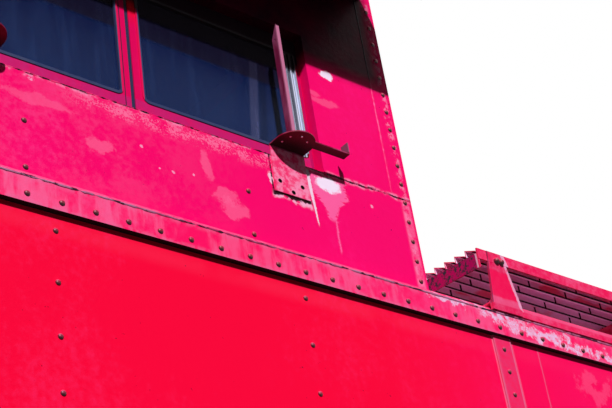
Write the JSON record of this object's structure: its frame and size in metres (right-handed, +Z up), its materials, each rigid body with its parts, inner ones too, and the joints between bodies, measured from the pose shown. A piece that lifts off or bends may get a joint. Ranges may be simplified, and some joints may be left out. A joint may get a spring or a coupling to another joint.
{
  "type": "railway caboose",
  "caption": "Steel railway caboose: a riveted cabin with a flush-sided lookout cupola, sun awnings, roof walks, end platforms with steps and railings, on spring trucks that swivel",
  "frame": {"origin": "centre of the whole caboose's plan, at the height of the lowest point of the wheel flanges", "axes": "X along the car, with the cupola nearer the -X end; Y across, with the pictured side at -Y; Z up"},
  "size_m": [11.541, 3.26, 4.6457],
  "materials": {
    "wheel_steel": "rolled steel with a worn bright tread and rusty web",
    "truck_iron": "black cast steel, dusty and rusted at the edges",
    "spring_steel": "dark oiled spring leaves with rust",
    "frame_black": "faded black paint",
    "floor_wood": "worn planks",
    "body_red": "bright red gloss paint, faded to rose in places",
    "belt_rose": "red paint faded to rose, chipped to pale primer",
    "cupola_red": "crimson gloss paint with pale touch-ups",
    "worn_maroon": "dull maroon paint on thin steel",
    "sash_aluminium": "grey anodised sashes and tracks",
    "pane": "dusty glass",
    "rail_red": "red paint worn to bare brown steel at the grips",
    "stove_iron": "stove black with rust",
    "cabin_green": "grey-green cabin enamel"
  },
  "bodies": {
    "car": {"underframe": "frame_black", "draft_sills": "frame_black", "end_sills": "frame_black", "floor": "floor_wood", "platforms": "frame_black", "side_left": "body_red", "side_right": "body_red", "letterboards": "belt_rose", "end_wall_a": "body_red", "end_wall_b": "body_red", "body_window_frames": "sash_aluminium", "body_window_glass": "pane", "roof": "body_red", "cupola_side_left": "cupola_red", "cupola_side_right": "cupola_red", "cupola_ends": "cupola_red", "cupola_roof": "cupola_red", "awnings": "cupola_red", "cupola_window_units": "body_red", "cupola_window_frames": "sash_aluminium", "cupola_window_glass": "pane", "wing_brackets": "worn_maroon", "wings": "worn_maroon", "walk_frames_left": "belt_rose", "walk_frames_right": "belt_rose", "walk_slats_left": "belt_rose", "walk_slats_right": "belt_rose", "railings": "rail_red", "ladders": "rail_red", "ladder_hoops": "rail_red", "couplers": "truck_iron", "brake_housings": "frame_black", "air_brake_gear": "frame_black", "equipment_boxes": "frame_black", "stove": "stove_iron", "smoke_jack": "stove_iron", "cupola_seats": "cabin_green", "desk": "floor_wood", "bunks": "cabin_green"},
    "truck_a": {"truck_sides_a": "truck_iron", "truck_bolster_a": "truck_iron", "truck_springs_a": "spring_steel"},
    "truck_b": {"truck_sides_b": "truck_iron", "truck_bolster_b": "truck_iron", "truck_springs_b": "spring_steel"},
    "wheels_a1": {"wheelset_a1": "wheel_steel"},
    "wheels_a2": {"wheelset_a2": "wheel_steel"},
    "wheels_b1": {"wheelset_b1": "wheel_steel"},
    "wheels_b2": {"wheelset_b2": "wheel_steel"},
    "door_a_leaf": {"door_a": "belt_rose", "door_glass_a": "pane"},
    "door_b_leaf": {"door_b": "belt_rose", "door_glass_b": "pane"},
    "hand_brake_a": {"brake_wheel_a": "frame_black"},
    "hand_brake_b": {"brake_wheel_b": "frame_black"}
  },
  "joints": [
    {"name": "truck_a_swivel", "type": "hinge", "parent": "car", "child": "truck_a", "pos_m": [-3.05, 0, 0.68], "axis": [0, 0, 1], "range_deg": [-6, 6]},
    {"name": "truck_b_swivel", "type": "hinge", "parent": "car", "child": "truck_b", "pos_m": [3.05, 0, 0.68], "axis": [0, 0, 1], "range_deg": [-6, 6]},
    {"name": "axle_a1", "type": "hinge", "parent": "truck_a", "child": "wheels_a1", "pos_m": [-3.888, 0, 0.444], "axis": [0, 1, 0], "continuous": true},
    {"name": "axle_a2", "type": "hinge", "parent": "truck_a", "child": "wheels_a2", "pos_m": [-2.212, 0, 0.444], "axis": [0, 1, 0], "continuous": true},
    {"name": "axle_b1", "type": "hinge", "parent": "truck_b", "child": "wheels_b1", "pos_m": [2.212, 0, 0.444], "axis": [0, 1, 0], "continuous": true},
    {"name": "axle_b2", "type": "hinge", "parent": "truck_b", "child": "wheels_b2", "pos_m": [3.888, 0, 0.444], "axis": [0, 1, 0], "continuous": true},
    {"name": "door_a_hinge", "type": "hinge", "parent": "car", "child": "door_a_leaf", "pos_m": [-4.468, 0.34, 2.1], "axis": [0, 0, 1], "range_deg": [0, 90]},
    {"name": "door_b_hinge", "type": "hinge", "parent": "car", "child": "door_b_leaf", "pos_m": [4.468, -0.34, 2.1], "axis": [0, 0, 1], "range_deg": [0, 90]},
    {"name": "brake_wheel_a_turn", "type": "hinge", "parent": "car", "child": "hand_brake_a", "pos_m": [-5.4005, 0.46, 2.035], "axis": [1, 0, 0], "continuous": true},
    {"name": "brake_wheel_b_turn", "type": "hinge", "parent": "car", "child": "hand_brake_b", "pos_m": [5.4005, -0.46, 2.035], "axis": [1, 0, 0], "continuous": true}
  ]
}
